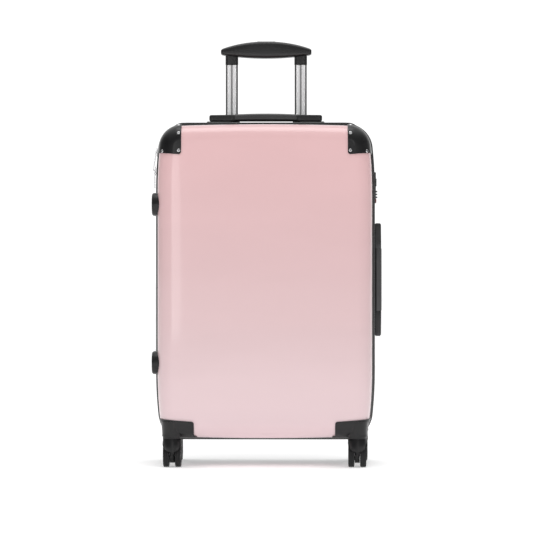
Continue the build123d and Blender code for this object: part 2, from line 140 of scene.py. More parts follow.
def metal(name, colour, rough, stretch=(1, 1, 1), grain=400.0, anisotropic=0.0, depth=0.00003):
    """Metal with a drawn or polished surface; stretch sets the direction of its fine lines."""
    mat, nodes, links, shader = tree_of(name)
    coords = object_coords(nodes)
    mapping = nodes.new("ShaderNodeMapping")
    mapping.inputs["Scale"].default_value = stretch
    links.new(coords, mapping.inputs["Vector"])
    lines = noise(nodes, links, mapping.outputs["Vector"], grain, 4.0, 0.65)
    low = tuple(c * 0.88 for c in colour)
    tone = ramp(nodes, links, lines.outputs["Fac"], [(0.3, low), (0.7, colour)])
    links.new(tone.outputs["Color"], shader.inputs["Base Color"])
    links.new(
        spread(nodes, links, lines.outputs["Fac"], rough * 0.75, rough * 1.3), shader.inputs["Roughness"]
    )
    shader.inputs["Metallic"].default_value = 1.0
    shader.inputs["Anisotropic"].default_value = anisotropic
    if depth:
        bump(nodes, links, lines.outputs["Fac"], shader, 0.15, depth)
    return mat


def tube_metal(name, colour, rough):
    """Drawn aluminium: bright lands, with painted shade in the colour that darkens the groove down the middle and
    the rounded sides.
    The tone is worked out across each tube, from its middle at tube_x out to reach."""
    mat = metal(name, colour, rough, (10, 10, 0.3), 90.0, 0.2, 0.0)
    nodes, links = mat.node_tree.nodes, mat.node_tree.links
    shader = nodes["Principled BSDF"]
    split = nodes.new("ShaderNodeSeparateXYZ")
    links.new(object_coords(nodes), split.inputs["Vector"])
    value = split.outputs["X"]
    tube_x, reach = 0.067, 0.015
    steps = (("ABSOLUTE", 0.0), ("SUBTRACT", tube_x), ("ABSOLUTE", 0.0), ("MULTIPLY", 1 / reach))
    for operation, number in steps:
        value = maths(nodes, links, operation, value, number)
    # Painted shade: the groove and the rounded sides are darkened in the base colour, in place of their
    # reflections.
    stops = [(0.0, 0.30), (0.09, 0.34), (0.15, 1.0), (0.52, 1.0), (0.60, 0.35), (0.68, 0.06)]
    across = ramp(nodes, links, value, [(place, (v, v, v)) for place, v in stops])
    mix = nodes.new("ShaderNodeMix")
    mix.data_type = "RGBA"
    mix.blend_type = "MULTIPLY"
    mix.inputs[0].default_value = 1.0
    links.new(shader.inputs["Base Color"].links[0].from_socket, mix.inputs[6])
    links.new(across.outputs["Color"], mix.inputs[7])
    links.new(mix.outputs[2], shader.inputs["Base Color"])
    shader.inputs["Metallic"].default_value = 0.4
    return mat


def woven(name, dark, light, thread=1500.0, sheen=0.3, depth=0.00018):
    """Woven cloth: crossing threads as two wave patterns, with fine fibre noise."""
    mat, nodes, links, shader = tree_of(name)
    coords = object_coords(nodes)
    bands = []
    for direction in ("X", "Z"):
        wave = nodes.new("ShaderNodeTexWave")
        wave.bands_direction = direction
        wave.inputs["Scale"].default_value = thread / 6.0
        wave.inputs["Distortion"].default_value = 0.6
        wave.inputs["Detail"].default_value = 1.0
        links.new(coords, wave.inputs["Vector"])
        bands.append(wave.outputs["Fac"])
    crossed = maths(nodes, links, "MULTIPLY", *bands)
    fibre = noise(nodes, links, coords, 900.0, 3.0)
    fuzz = spread(nodes, links, fibre.outputs["Fac"], -0.2, 0.3)
    total = maths(nodes, links, "ADD", crossed, fuzz)
    tone = ramp(nodes, links, total, [(0.1, dark), (0.9, light)])
    links.new(tone.outputs["Color"], shader.inputs["Base Color"])
    shader.inputs["Roughness"].default_value = 0.85
    shader.inputs["Sheen Weight"].default_value = sheen
    bump(nodes, links, total, shader, 0.5, depth)
    return mat


def printed_shell(name, stops, wave_shift):
    """Glossy film-printed shell: colour runs down the case, with soft diagonal waves, under a clear coat."""
    mat, nodes, links, shader = tree_of(name)
    coords = object_coords(nodes)
    split = nodes.new("ShaderNodeSeparateXYZ")
    links.new(coords, split.inputs["Vector"])
    height = nodes.new("ShaderNodeMapRange")
    height.inputs["From Min"].default_value = 0.05
    height.inputs["From Max"].default_value = 0.65
    links.new(split.outputs["Z"], height.inputs["Value"])
    down = ramp(nodes, links, height.outputs["Result"], stops)
    down.color_ramp.interpolation = "B_SPLINE"
    turned = nodes.new("ShaderNodeMapping")
    turned.inputs["Rotation"].default_value = (0, math.radians(-22), 0)
    turned.inputs["Scale"].default_value = (2.2, 1.0, 9.0)
    links.new(coords, turned.inputs["Vector"])
    waves = noise(nodes, links, turned.outputs["Vector"], 1.3, 2.0, 0.45, 0.8)
    soft = spread(nodes, links, waves.outputs["Fac"], -wave_shift, wave_shift)
    speck = noise(nodes, links, coords, 260.0, 2.0)
    small = spread(nodes, links, speck.outputs["Fac"], -0.006, 0.006)
    both = maths(nodes, links, "ADD", soft, small)
    shade = nodes.new("ShaderNodeHueSaturation")
    links.new(maths(nodes, links, "ADD", both, 1.0), shade.inputs["Value"])
    links.new(down.outputs["Color"], shade.inputs["Color"])
    links.new(shade.outputs["Color"], shader.inputs["Base Color"])
    ripple = noise(nodes, links, coords, 9.0, 2.0)
    links.new(spread(nodes, links, ripple.outputs["Fac"], 0.28, 0.36), shader.inputs["Roughness"])
    bump(nodes, links, ripple.outputs["Fac"], shader, 0.05, 0.0006)
    shader.inputs["Coat Weight"].default_value = 0.7
    shader.inputs["Coat Roughness"].default_value = 0.05
    return mat


# Print colours from the foot of the case (0) to its top (1).
PINK = [(0.0, (0.75, 0.57, 0.595)), (0.12, (0.77, 0.59, 0.61))]
PINK += [(0.38, (0.655, 0.475, 0.485)), (1.0, (0.735, 0.45, 0.455))]
MATS = {
    "shell": printed_shell("shell_print", PINK, 0.03),
    "shell_black": moulded(
        "shell_black", (0.006, 0.006, 0.007), (0.011, 0.011, 0.012), 0.14, 300.0, 0.00002, 0.8, 0.05
    ),
    "lining": woven("lining_cloth", (0.025, 0.025, 0.03), (0.075, 0.075, 0.085), 1100.0),
    "zip": woven("zip_cloth", (0.006, 0.006, 0.007), (0.016, 0.016, 0.018), 2600.0, 0.0, 0.0001),
    "guard": moulded(
        "guard_plastic", (0.004, 0.004, 0.0045), (0.008, 0.008, 0.0085), 0.3, 900.0, 0.00003, 0.25, 0.2,
        0.28
    ),
    "rivet": metal("rivet_chrome", (0.8, 0.8, 0.81), 0.12),
    "black_plastic": moulded(
        "black_plastic", (0.006, 0.006, 0.0065), (0.013, 0.013, 0.014), 0.34, gloss=0.36
    ),
    "webbing": woven("webbing", (0.01, 0.01, 0.012), (0.035, 0.035, 0.038), 1700.0),
    "tube": tube_metal("tube_aluminium", (0.97, 0.97, 0.98), 0.2),
    "grip": moulded(
        "grip_plastic", (0.007, 0.007, 0.0075), (0.013, 0.013, 0.0135), 0.32, 1100.0, 0.00004, 0.2, 0.2, 0.4
    ),
    "soft_grip": moulded(
        "soft_grip", (0.042, 0.042, 0.043), (0.06, 0.06, 0.061), 0.36, 700.0, 0.00004, 0.3, 0.2
    ),
    "steel": metal("plated_steel", (0.6, 0.6, 0.62), 0.25, (1, 1, 40), 120.0),
    "dial": moulded("dial_plastic", (0.015, 0.015, 0.016), (0.03, 0.03, 0.032), 0.35),
    "red_plastic": moulded("red_plastic", (0.42, 0.02, 0.02), (0.52, 0.03, 0.03), 0.3),
    "zinc": metal("zinc_pull", (0.72, 0.72, 0.73), 0.2),
    "tyre": moulded(
        "tyre_rubber", (0.008, 0.008, 0.0085), (0.017, 0.017, 0.018), 0.5, 500.0, 0.00008, gloss=0.3
    ),
}
MATS["zip_teeth"] = moulded("zip_teeth", (0.02, 0.02, 0.022), (0.045, 0.045, 0.048), 0.3)
MATS["thread"] = woven("thread", (0.03, 0.03, 0.032), (0.07, 0.07, 0.074), 2600.0, 0.1, 0.00005)
MATS["piping"] = moulded(
    "piping_vinyl", (0.014, 0.014, 0.015), (0.022, 0.022, 0.023), 0.24, 600.0, 0.00003, 0.6, 0.1, 0.55
)
MATS["hub"] = moulded("hub_plastic", (0.016, 0.016, 0.017), (0.03, 0.03, 0.032), 0.34)
MATS["arm"] = moulded(
    "arm_plastic", (0.014, 0.014, 0.0145), (0.024, 0.024, 0.025), 0.34, 900.0, 0.00003, 0.2, 0.2, 0.45
)
INK = moulded("dial_ink", (0.75, 0.75, 0.72), (0.85, 0.85, 0.82), 0.5)

for part in frame["record"]["subparts"]:
    cad = frame["nodes"][part["node"]]
    cad.data.materials.clear()
    cad.data.materials.append(MATS[part["material_slot"]])

# ---------------- mesh helpers


class Builder:
    """Collects rings of points and joins them into one mesh."""

    def __init__(self):
        self.points = []
        self.faces = []

    def ring(self, points):
        start = len(self.points)
        self.points.extend(tuple(p) for p in points)
        return list(range(start, start + len(points)))

    def bridge(self, a, b):
        for i in range(len(a)):
            j = (i + 1) % len(a)
            self.faces.append((a[i], a[j], b[j], b[i]))

    def chain(self, rings):
        for a, b in zip(rings, rings[1:]):
            self.bridge(a, b)

    def fan(self, ring, centre):
        self.points.append(tuple(centre))
        middle = len(self.points) - 1
        for i in range(len(ring)):
            self.faces.append((ring[i], ring[(i + 1) % len(ring)], middle))

    def solid(self, rings):
        """Joins a stack of rings and closes both ends."""
        self.chain(rings)
        self.faces += [tuple(rings[0][::-1]), tuple(rings[-1])]

    def made(self, name, material, angle=35.0):
        mesh = bpy.data.meshes.new(name)
        mesh.from_pydata(self.points, [], self.faces)
        return finished(name, mesh, material, angle)


def finished(name, mesh, material, angle=35.0, outward=True):
    if outward:
        shape = bmesh.new()
        shape.from_mesh(mesh)
        bmesh.ops.remove_doubles(shape, verts=shape.verts, dist=1e-7)
        bmesh.ops.recalc_face_normals(shape, faces=shape.faces)
        shape.to_mesh(mesh)
        shape.free()
    mesh.shade_smooth()
    mesh.set_sharp_from_angle(angle=math.radians(angle))
    made = bpy.data.objects.new(name, mesh)
    bpy.context.scene.collection.objects.link(made)
    mesh.materials.append(material)
    return made


def edge_round(obj, width, segments=2, angle=35.0):
    bevel = obj.modifiers.new("edge", "BEVEL")
    bevel.width = width
    bevel.segments = segments
    bevel.limit_method = "ANGLE"
    bevel.angle_limit = math.radians(angle)
    bevel.harden_normals = True
    return obj


def applied(obj, angle=35.0):
    """The object with its modifiers made part of its mesh."""
    bpy.context.view_layer.update()
    graph = bpy.context.evaluated_depsgraph_get()
    mesh = bpy.data.meshes.new_from_object(obj.evaluated_get(graph))
    obj.modifiers.clear()
    obj.data = mesh
    mesh.shade_smooth()
    mesh.set_sharp_from_angle(angle=math.radians(angle))
    return obj


def cut(obj, cutters, operation="DIFFERENCE", angle=35.0):
    for cutter in cutters:
        made = obj.modifiers.new("cut", "BOOLEAN")
        made.operation = operation
        made.solver = "EXACT"
        made.object = cutter
    applied(obj, angle)
    for cutter in cutters:
        bpy.data.objects.remove(cutter)
    return obj


def block(name, low, high):
    made = Builder()
    corners = [(low[0], low[1]), (high[0], low[1]), (high[0], high[1]), (low[0], high[1])]
    a = made.ring([(x, y, low[2]) for x, y in corners])
    b = made.ring([(x, y, high[2]) for x, y in corners])
    made.solid([a, b])
    return made.made(name, MATS["black_plastic"])


AXES = {"X": lambda a, b, h: (h, a, b), "Z": lambda a, b, h: (a, b, h)}


def spun(made, profile, axis, centre, steps):
    """Rings turned about an axis from (radius, distance along the axis) pairs."""
    rings = []
    for radius, along in profile:
        ring = []
        for i in range(steps):
            a = 2 * math.pi * i / steps
            p = AXES[axis](radius * math.cos(a), radius * math.sin(a), along)
            ring.append(tuple(p[k] + centre[k] for k in range(3)))
        rings.append(made.ring(ring))
    return rings


def rod(name, axis, radius, low, high, centre, steps=64):
    made = Builder()
    rings = spun(made, [(radius, low), (radius, high)], axis, centre, steps)
    made.chain(rings)
    made.faces += [tuple(rings[0]), tuple(rings[-1])]
    return made.made(name, MATS["black_plastic"])


def lathe(name, profile, axis, centre, material, steps):
    """Ring turned from a closed section of (radius, distance along the axis) pairs."""
    made = Builder()
    rings = spun(made, profile, axis, centre, steps)
    made.chain(rings + rings[:1])
    return made.made(name, material)


def show(obj, body, slot_name, *cad_nodes):
    """The finished piece rides on its body and stands for CAD nodes, which it hides; slot_name is not used."""
    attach(obj, body)
    if cad_nodes:
        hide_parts(*cad_nodes)
    return obj


# ---------------- case surface

shell_low, shell_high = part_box("front_shell")
HALF = (shell_high.x - shell_low.x) / 2
MID = (shell_low.z + shell_high.z) / 2
TALL = (shell_high.z - shell_low.z) / 2
DEEP = -shell_low.y
STRAIGHT, SIDE_R, TOP_R, CORNER_R = 0.172, 0.8, 4.5, 0.045
DRAFT, ROUND = math.radians(2.0), 0.030
CROWN = 0.0017
# Where the flat face's inner rings lie, as a share of its outline.
FACE_RINGS = (0.993, 0.984, 0.972, 0.957, 0.938, 0.914, 0.885, 0.85, 0.80, 0.72, 0.62, 0.50, 0.38, 0.26, 0.12)


def corner_centre():
    """Middle of the corner arc that touches the bowed side and the bowed top."""
    first = Vector((HALF - SIDE_R, STRAIGHT))
    second = Vector((0, TALL - TOP_R))
    reach_a, reach_b = SIDE_R - CORNER_R, TOP_R - CORNER_R
    apart = (second - first).length
    along = (reach_a**2 - reach_b**2 + apart**2) / (2 * apart)
    across = math.sqrt(reach_a**2 - along**2)
    unit = (second - first) / apart
    side = Vector((-unit.y, unit.x))
    found = [first + unit * along + side * across * sign for sign in (1, -1)]
    return max(found, key=lambda p: p.y)


BEND = corner_centre()


def outline():
    """Points (x, z, outward x, outward z) once round the case, about its middle."""
    side, top = Vector((HALF - SIDE_R, STRAIGHT)), Vector((0, TALL - TOP_R))
    to_side = math.atan2(BEND.y - side.y, BEND.x - side.x)
    to_top = math.atan2(BEND.y - top.y, BEND.x - top.x)
    quarter = [(HALF, z, 1.0, 0.0) for z in np.linspace(0, STRAIGHT, 12, endpoint=False)]
    arcs = [(side, SIDE_R, 0.0, to_side, 9), (BEND, CORNER_R, to_side, to_top, 18)]
    arcs.append((top, TOP_R, to_top, math.pi / 2, 18))
    for centre, radius, start, end, count in arcs:
        for a in np.linspace(start, end, count, endpoint=False):
            c, s = math.cos(a), math.sin(a)
            quarter.append((centre.x + radius * c, centre.y + radius * s, c, s))
    quarter.append((0.0, TALL, 0.0, 1.0))
    mirrored = [(-x, z, -nx, nz) for x, z, nx, nz in quarter[::-1][1:]]
    upper = quarter + mirrored
    lower = [(x, -z, nx, -nz) for x, z, nx, nz in upper[::-1][1:-1]]
    return np.array(upper + lower)


LOOP = outline()


def contour(grow, y):
    return [(x + grow * nx, y, MID + z + grow * nz) for x, z, nx, nz in LOOP]


def flange(grow, y):
    """Like contour, but its top and bottom runs bow less than the shell does."""
    points = []
    for x, z, nx, nz in LOOP:
        on_run = max(0.0, min(1.0, (abs(nz) - 0.93) / 0.06))
        off_middle = min(1.0, (x / 0.15) ** 2)
        off_shell = max(0.0, min(1.0, grow / 0.0034))
        reach = grow + 0.0024 * (on_run * off_middle * off_shell)
        points.append((x + reach * nx, y, MID + z + reach * nz))
    return points


def skin_profile(grow, start):
    """(growth, depth) pairs along the wall and round the edge to the flat face."""
    centre_s = ROUND / math.cos(DRAFT) + (DEEP - ROUND) * math.tan(DRAFT)
    centre_d = DEEP - ROUND
    radius = ROUND + grow
    join_d = centre_d + radius * math.sin(DRAFT)
    join_s = centre_s - radius * math.cos(DRAFT)
    begin_s = join_s - (join_d - start) * math.tan(DRAFT)
    pairs = []
    for t in np.linspace(0, 1, 10, endpoint=False):
        pairs.append((-(begin_s + (join_s - begin_s) * t), start + (join_d - start) * t))
    for a in np.linspace(DRAFT, math.radians(86.5), 16):
        pairs.append((-(centre_s - radius * math.cos(a)), centre_d + radius * math.sin(a)))
    return pairs


def skin(made, grow, start, side):
    """Rings of one skin of a case half, from the parting line over the edge to the middle of its face."""
    rings = []
    for growth, depth in skin_profile(grow, start):
        last = contour(growth, side * depth)
        rings.append(made.ring(last))
    wide = max(p[0] for p in last)
    high = max(p[2] for p in last) - MID
    level = abs(last[0][1])
    for t in FACE_RINGS:
        ring = []
        for x, _, z in last:
            px, pz = x * t, (z - MID) * t
            rise = (1 - t**5) * (1 - 0.12 * (px / wide) ** 2) * (1 - 0.12 * (pz / high) ** 2)
            ring.append((px, side * (level + CROWN * rise), MID + pz))
        rings.append(made.ring(ring))
    made.chain(rings)
    made.fan(rings[-1], (0, side * (level + CROWN), MID))
    return rings


def case_shell(name, grow_out, grow_in, side, material, start=0.0003):
    """One half of the case as a closed wall between two skins; side is -1 in front and 1 behind."""
    made = Builder()
    outer = skin(made, grow_out, start, side)
    inner = skin(made, grow_in, start, side)
    made.bridge(outer[0], inner[0])
    return made.made(name, material, 40)


def band(name, profile, side, material, angle=35.0):
    """Ring round the case with a closed (growth, depth) section."""
    made = Builder()
    rings = [made.ring(flange(g, side * y)) for g, y in profile]
    made.chain(rings + rings[:1])
    return made.made(name, material, angle)


def along_outline(spacing):
    """Evenly spaced places on the outline: x, z, outward x, outward z."""
    closed = np.vstack([LOOP, LOOP[:1]])
    step = np.hypot(*(closed[1:, :2] - closed[:-1, :2]).T)
    total = np.concatenate([[0], np.cumsum(step)])
    count = int(total[-1] / spacing)
    at = np.linspace(0, total[-1], count, endpoint=False)
    return np.stack([np.interp(at, total, closed[:, k]) for k in range(4)], 1)


def beads(name, spacing, shift, size, growth, depths, side, material):
    """Small blocks in a row round the outline, such as zip teeth or stitches.
    size is the half width along the outline; growth and depths are the low and high limits."""
    places = along_outline(spacing)
    made = Builder()
    for x, z, nx, nz in places:
        tx, tz = -nz, nx
        x, z = x + tx * shift, z + tz * shift
        corners = []
        for g, shrink in ((growth[0], 1.0), (growth[1], 0.6)):
            for y, w in ((depths[0], -1), (depths[1], -1), (depths[1], 1), (depths[0], 1)):
                off = size * w * shrink
                corners.append((x + nx * g + tx * off, side * y, MID + z + nz * g + tz * off))
        ids = made.ring(corners)
        made.solid([ids[:4], ids[4:]])
    return made.made(name, material, 60)


FRONT, BACK = ("front_left", "front_right"), ("back_left", "back_right")
KING = {n: Vector(JOINTS[f"caster_{n}_swivel"]["pos_m"]) for n in FRONT + BACK}
PLATE_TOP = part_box("wheel_housings_front")[0].z + 0.004
BOSS_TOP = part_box("wheel_housings_front")[1].z
POCKET_R, BOSS_R = 0.0472, 0.0175


def wheel_cuts(names, extra):
    """Cutters for the round pocket over each caster and for the boss above it."""
    made = []
    for n in names:
        centre = (KING[n].x, KING[n].y, 0)
        made.append(rod("c1", "Z", POCKET_R + extra, 0.030, PLATE_TOP + extra, centre))
        made.append(rod("c2", "Z", BOSS_R + extra, 0.040, BOSS_TOP + extra, centre))
    return made


WALL = 0.0025
LINING_OUT, LINING_IN = 0.0028, 0.0040
POST_HALF, TUBE_WIDE = 0.008, 0.0296

shell_front = case_shell("shell_front", 0.0, -WALL, -1, MATS["shell"])
cut(shell_front, wheel_cuts(FRONT, 0))
show(shell_front, "front_case", "shell", "front_shell")

shell_back = case_shell("shell_back", 0.0, -WALL, 1, MATS["shell_black"])
lock_low, lock_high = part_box("lock_body")
# Openings in the back shell: the lock, the posts of both carry handles, and the trolley tubes.
through = [block("c3", lock_low - Vector((0.001, 0, 0)), lock_high + Vector((0.02, 0, 0)))]
for name in ("top_handle", "side_handle"):
    for sign in (-1, 1):
        posts_low, posts_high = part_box(f"{name}_posts")
        post_y = (posts_low.y + posts_high.y) / 2
        if name == "top_handle":
            centre = Vector((sign * (posts_high.x - POST_HALF), post_y, 0.65))
            half = Vector((0.01, 0.01, 0.03))
        else:
            middle = (posts_low.z + posts_high.z) / 2
            centre = Vector((0.2, post_y, middle + sign * (posts_high.z - middle - POST_HALF)))
            half = Vector((0.03, 0.01, 0.01))
        through.append(block("c4", centre - half, centre + half))
tube_low, tube_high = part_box("trolley_outer_tubes")
for sign in (-1, 1):
    low_x, high_x = sorted((sign * tube_high.x, sign * (tube_high.x - TUBE_WIDE)))
    through.append(block("c5", (low_x, tube_low.y, 0.6), (high_x, tube_high.y, 0.7)))
cut(shell_back, wheel_cuts(BACK, 0) + through)
show(shell_back, "back_case", "shell_black", "back_shell")

lining_front = case_shell("lining_front", -LINING_OUT, -LINING_IN, -1, MATS["lining"])
cut(lining_front, wheel_cuts(FRONT, 0.001))
show(lining_front, "front_case", "lining", "front_lining")

# ---------------- zip band

# Sections round the case as (growth, depth) points: the folded tape, and the piping beside it.
TAPE = [(-0.0004, 0.0104), (0.0030, 0.0104), (0.0038, 0.0098), (0.0040, 0.0090), (0.0042, 0.0080)]
TAPE += [(0.0042, 0.0050), (0.0040, 0.0038), (0.0034, 0.0032), (0.0026, 0.0030), (0.0024, 0.0026)]
TAPE += [(0.0024, 0.0007), (0.0020, 0.0004), (-0.0004, 0.0004)]
PIPING_R = 0.0018
PIPING = [(-0.0004, 0.0120), (0.0014, 0.0120)]
for a in np.radians(np.linspace(80, -80, 12)):
    PIPING.append((0.0025 + PIPING_R * math.cos(a), 0.0102 + PIPING_R * math.sin(a)))
PIPING += [(0.0014, 0.0084), (-0.0004, 0.0084)]
TOOTH_PITCH, TOOTH_HALF = 0.0016, 0.0005
TOOTH_GROWTH, TOOTH_DEPTH = (0.0020, 0.0034), (0.00025, 0.0028)
STITCH_PITCH, STITCH_HALF = 0.0036, 0.0012
STITCH_GROWTH, STITCH_WIDE = (0.0040, 0.00435), 0.0005
for side, half_name in ((-1, "front"), (1, "back")):
    tape = band(f"zip_tape_{half_name}_cloth", TAPE, side, MATS["zip"], 50)
    show(tape, f"{half_name}_case", "zip", f"zip_tape_{half_name}")
    piping = band(f"zip_piping_{half_name}", PIPING, side, MATS["piping"], 40)
    show(piping, f"{half_name}_case", "zip")
    # The two rows of teeth are a half pitch apart.
    name, shift = f"zip_teeth_{half_name}", TOOTH_PITCH / 4 * side
    teeth = beads(name, TOOTH_PITCH, shift, TOOTH_HALF, TOOTH_GROWTH, TOOTH_DEPTH, side, MATS["zip_teeth"])
    show(teeth, f"{half_name}_case", "zip")
    for row, depth in (("inner", 0.0046), ("outer", 0.0072)):
        name, depths = f"zip_stitch_{row}_{half_name}", (depth, depth + STITCH_WIDE)
        stitch = beads(name, STITCH_PITCH, 0, STITCH_HALF, STITCH_GROWTH, depths, side, MATS["thread"])
        show(stitch, f"{half_name}_case", "zip")

# ---------------- corner guards


def corner_prism(name, points, radius, side):
    """Prism along Y whose XZ outline is a convex polygon; its second corner is rounded."""
    before, corner, after = (Vector(p) for p in points[:3])
    a, b = (before - corner).normalized(), (after - corner).normalized()
    half = a.angle(b) / 2
    centre = corner + (a + b).normalized() * radius / math.sin(half)
    start, end = corner + a * radius / math.tan(half), corner + b * radius / math.tan(half)
    u, v = start - centre, end - centre
    arc = []
    for t in np.linspace(0, 1, 9):
        arc.append(centre + (u.lerp(v, t)).normalized() * radius)
    outline_points = [tuple(before)] + [tuple(p) for p in arc] + [tuple(p) for p in points[2:]]
    made = Builder()
    a = made.ring([(x, side * 0.005, z) for x, z in outline_points])
    b = made.ring([(x, side * 0.2, z) for x, z in outline_points])
    made.solid([a, b])
    return made.made(name, MATS["guard"])


def joined(objs):
    """The first object, with the meshes of all of them."""
    first = objs[0]
    shape = bmesh.new()
    for obj in objs:
        shape.from_mesh(obj.data)
    mesh = bpy.data.meshes.new(first.name)
    shape.to_mesh(mesh)
    shape.free()
    mesh.materials.append(first.data.materials[0])
    mesh.shade_smooth()
    for obj in objs[1:]:
        bpy.data.objects.remove(obj)
    first.data = mesh
    return first


def case_solid(side):
    """Filled half of the case, for cutting away what lies inside it."""
    made = Builder()
    rings = skin(made, 0.0, -0.01, side)
    made.fan(rings[0], (0, side * -0.01, MID))
    return made.made("case_solid", MATS["shell"])


# The guards stand GUARD_THICK off the shell and begin GUARD_START from the parting plane.
GUARD_THICK, GUARD_GAP, GUARD_START = 0.0022, 0.00005, 0.0132
GUARD_OUT_X, TOP_ROUND, BOTTOM_ROUND = 0.212, 0.0048, 0.0045
# Height and radius of the legs of the lower guards, and how far they lean inwards per metre of height.
LEG_RINGS = ((0.0585, 0.0187), (0.0680, 0.0198), (0.0800, 0.0224), (0.0880, 0.0240))
LEG_LEAN, LEG_LOW, LEG_HIGH = 0.12, 0.0585, 0.0864


def guard_leg(king, side):
    """Swelling of a lower guard above its caster, outside the case."""
    made = Builder()
    curve = np.polyfit([z for z, r in LEG_RINGS], [r for z, r in LEG_RINGS], 3)
    rings = []
    turn = [2 * math.pi * i / 72 for i in range(72)]
    for z in np.linspace(LEG_LOW, LEG_HIGH, 14):
        r = np.polyval(curve, z)
        middle = king.x - math.copysign(LEG_LEAN * (z - LEG_LOW), king.x)
        rings.append(made.ring([(middle + r * math.cos(a), king.y + r * math.sin(a), z) for a in turn]))
    made.solid(rings)
    return cut(made.made("leg", MATS["guard"]), [case_solid(side)])


for side, half_name, casters in ((-1, "front", FRONT), (1, "back", BACK)):
    prisms = []
    for sx in (-1, 1):
        out_x = sx * GUARD_OUT_X
        top = [(out_x, 0.5909), (sx * 0.156, 0.5868), (sx * 0.1555, 0.66), (out_x, 0.66)]
        bottom = [(sx * 0.132, 0.04), (sx * 0.1322, 0.0866), (out_x, 0.0924), (out_x, 0.04)]
        prisms.append(corner_prism("p", top, TOP_ROUND, side))
        prisms.append(corner_prism("p", bottom, BOTTOM_ROUND, side))
    name = f"corner_guards_{half_name}_plastic"
    guard = case_shell(name, GUARD_THICK, GUARD_GAP, side, MATS["guard"], GUARD_START)
    cut(guard, [joined(prisms)], "INTERSECT")
    cut(guard, [guard_leg(KING[n], side) for n in casters], "UNION")
    cut(guard, wheel_cuts(casters, 0))
    show(guard, f"{half_name}_case", "guard", f"corner_guards_{half_name}")

# ---------------- casters


def rounded_rect(wide, high, corner):
    points = []
    for cx, cy, start in ((1, 1, 0), (-1, 1, 90), (-1, -1, 180), (1, -1, 270)):
        for a in np.linspace(start, start + 90, 7):
            a = math.radians(a)
            x = cx * (wide / 2 - corner) + corner * math.cos(a)
            y = cy * (high / 2 - corner) + corner * math.sin(a)
            points.append((x, y))
    return points


def pill(name, axis, centre, wide, high, corner, levels, material):
    """Rounded block along an axis; each level is (inset, place along the axis)."""
    made = Builder()
    rings = []
    for inset, along in levels:
        points = rounded_rect(wide - 2 * inset, high - 2 * inset, max(corner - inset, 0.0001))
        ring = [AXES[axis](a, b, along) for a, b in points]
        rings.append(made.ring([tuple(p[k] + centre[k] for k in range(3)) for p in ring]))
    made.solid(rings)
    return made.made(name, material)


TRAIL = JOINTS["wheel_front_left_a_spin"]["pos_m"][1] - KING["front_left"].y
AXLE_Z = JOINTS["wheel_front_left_a_spin"]["pos_m"][2]
FORK_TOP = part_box("wheel_housings_front")[0].z - 0.0003
HOOD_R, HOOD_OVER_WHEEL, HOOD_UNDER = 0.0172, 0.0282, 0.0262
WEB_HALF, STEM_R, AXLE_R = 0.0045, 0.005, 0.003
# Seen from the front the hood's lower edge is a U: half its width, its depth, and its lowest height.
U_HALF, U_DEEP, U_LOW = 0.018, 0.017, 0.029


def fork_shape():
    """Fork about its kingpin: hood with a U-shaped front, web, top disc and stem."""
    axle = (0, TRAIL, AXLE_Z)
    hood = rod("fork", "Z", HOOD_R, 0.020, FORK_TOP, (0, 0, 0), 72)
    cut(hood, [rod("r", "X", HOOD_OVER_WHEEL, -0.0175, 0.0175, axle, 80)], "UNION")
    cut(hood, [rod("r", "X", HOOD_UNDER, -0.02, 0.02, axle, 80)])
    made = Builder()
    outline_points = [(U_HALF, 0.046), (U_HALF, 0.06), (-U_HALF, 0.06), (-U_HALF, 0.046)]
    radius = (U_HALF**2 + U_DEEP**2) / (2 * U_DEEP)
    edge = math.asin(U_HALF / radius)
    for a in np.linspace(-edge, edge, 25)[1:-1]:
        outline_points.append((radius * math.sin(a), U_LOW + radius - radius * math.cos(a)))
    a = made.ring([(x, -0.03, z) for x, z in outline_points])
    b = made.ring([(x, 0.06, z) for x, z in outline_points])
    made.solid([a, b])
    cut(hood, [made.made("u", MATS["black_plastic"])], "INTERSECT")
    web = rod("w", "X", HOOD_R, -WEB_HALF, WEB_HALF, axle, 64)
    block_low, block_high = (-WEB_HALF, TRAIL - 0.020, 0.025), (WEB_HALF, TRAIL + 0.016, 0.052)
    cut(web, [block("b", block_low, block_high)], "UNION")
    cut(web, [rod("d", "Z", 0.0170, 0.0509, FORK_TOP, (0, 0, 0), 72)], "UNION")
    cut(hood, [web], "UNION")
    cut(hood, [rod("s", "Z", STEM_R, 0.0515, 0.078, (0, 0, 0), 40)], "UNION")
    cut(hood, [rod("a", "X", AXLE_R, -0.03, 0.03, axle, 32)])
    edge_round(hood, 0.0006, 2, 40)
    return applied(hood, 40)


fork = fork_shape()
fork_mesh = fork.data
bpy.data.objects.remove(fork)


